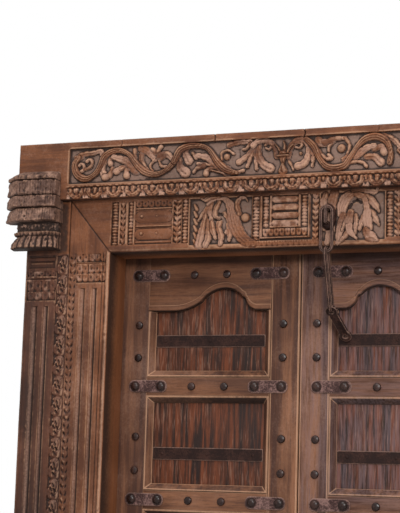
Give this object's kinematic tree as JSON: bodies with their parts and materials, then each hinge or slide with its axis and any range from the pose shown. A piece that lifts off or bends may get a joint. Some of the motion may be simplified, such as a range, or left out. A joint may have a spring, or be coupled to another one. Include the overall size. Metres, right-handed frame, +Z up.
{
  "type": "carved temple door",
  "caption": "Carved timber double door in its frame, with fluted posts, bracket capitals, a scrolled frieze, iron-studded pivot leaves and a forged lintel chain.",
  "frame": {"origin": "on the floor under the middle of the sill, half way through the inner frame's depth", "axes": "+Z up, +X to the right of someone facing the carved front, +Y from that front through the doorway"},
  "size_m": [1.83, 0.264, 2.212],
  "materials": {
    "frame_wood": "aged carved teak, dusty grounds and worn edges",
    "leaf_wood": "aged teak, dry and worn",
    "panel_wood": "aged reddish teak boards",
    "forged_iron": "dark forged iron with dusty rust"
  },
  "bodies": {
    "frame": {"sill": "frame_wood", "inner_head": "frame_wood", "frieze_beam": "frame_wood", "bead_strip": "frame_wood", "lintel_staple": "forged_iron", "left_inner_jamb": "frame_wood", "right_inner_jamb": "frame_wood", "left_outer_post": "frame_wood", "right_outer_post": "frame_wood", "left_capital": "frame_wood", "right_capital": "frame_wood", "left_pivot_block": "frame_wood", "right_pivot_block": "frame_wood", "left_pivot_cup": "forged_iron", "right_pivot_cup": "forged_iron"},
    "left_leaf": {"left_hinge_stile": "leaf_wood", "left_meeting_stile": "leaf_wood", "left_top_rail": "leaf_wood", "left_rail_1": "leaf_wood", "left_rail_2": "leaf_wood", "left_rail_3": "leaf_wood", "left_rail_4": "leaf_wood", "left_bottom_rail": "leaf_wood", "left_panel_1": "panel_wood", "left_panel_2": "panel_wood", "left_panel_3": "panel_wood", "left_panel_4": "panel_wood", "left_panel_5": "panel_wood", "left_panel_mouldings": "leaf_wood", "left_corner_straps": "forged_iron", "left_panel_straps": "forged_iron", "left_studs": "forged_iron"},
    "right_leaf": {"right_hinge_stile": "leaf_wood", "right_meeting_stile": "leaf_wood", "right_top_rail": "leaf_wood", "right_rail_1": "leaf_wood", "right_rail_2": "leaf_wood", "right_rail_3": "leaf_wood", "right_rail_4": "leaf_wood", "right_bottom_rail": "leaf_wood", "right_panel_1": "panel_wood", "right_panel_2": "panel_wood", "right_panel_3": "panel_wood", "right_panel_4": "panel_wood", "right_panel_5": "panel_wood", "right_panel_mouldings": "leaf_wood", "right_corner_straps": "forged_iron", "right_panel_straps": "forged_iron", "right_studs": "forged_iron", "leaf_peg": "forged_iron"},
    "chain_link_1": {"chain_link_1": "forged_iron"},
    "chain_link_2": {"chain_link_2": "forged_iron"},
    "chain_hasp": {"chain_hasp": "forged_iron"}
  },
  "joints": [
    {"name": "left_leaf_swing", "type": "hinge", "parent": "frame", "child": "left_leaf", "pos_m": [-0.582, 0.0875, 0], "axis": [0, 0, 1], "range_deg": [0, 95]},
    {"name": "right_leaf_swing", "type": "hinge", "parent": "frame", "child": "right_leaf", "pos_m": [0.582, 0.0875, 0], "axis": [0, 0, -1], "range_deg": [0, 95]},
    {"name": "chain_link_1_swing", "type": "hinge", "parent": "frame", "child": "chain_link_1", "pos_m": [0.115, -0.084, 1.9782], "axis": [-1, 0, 0], "range_deg": [0, 70]},
    {"name": "chain_link_2_swing", "type": "hinge", "parent": "chain_link_1", "child": "chain_link_2", "pos_m": [0.115, -0.084, 1.8452], "axis": [-1, 0, 0], "range_deg": [0, 60]},
    {"name": "chain_hasp_swing", "type": "hinge", "parent": "chain_link_2", "child": "chain_hasp", "pos_m": [0.115, -0.0188, 1.6988], "axis": [-1, 0, 0], "range_deg": [0, 40]}
  ]
}
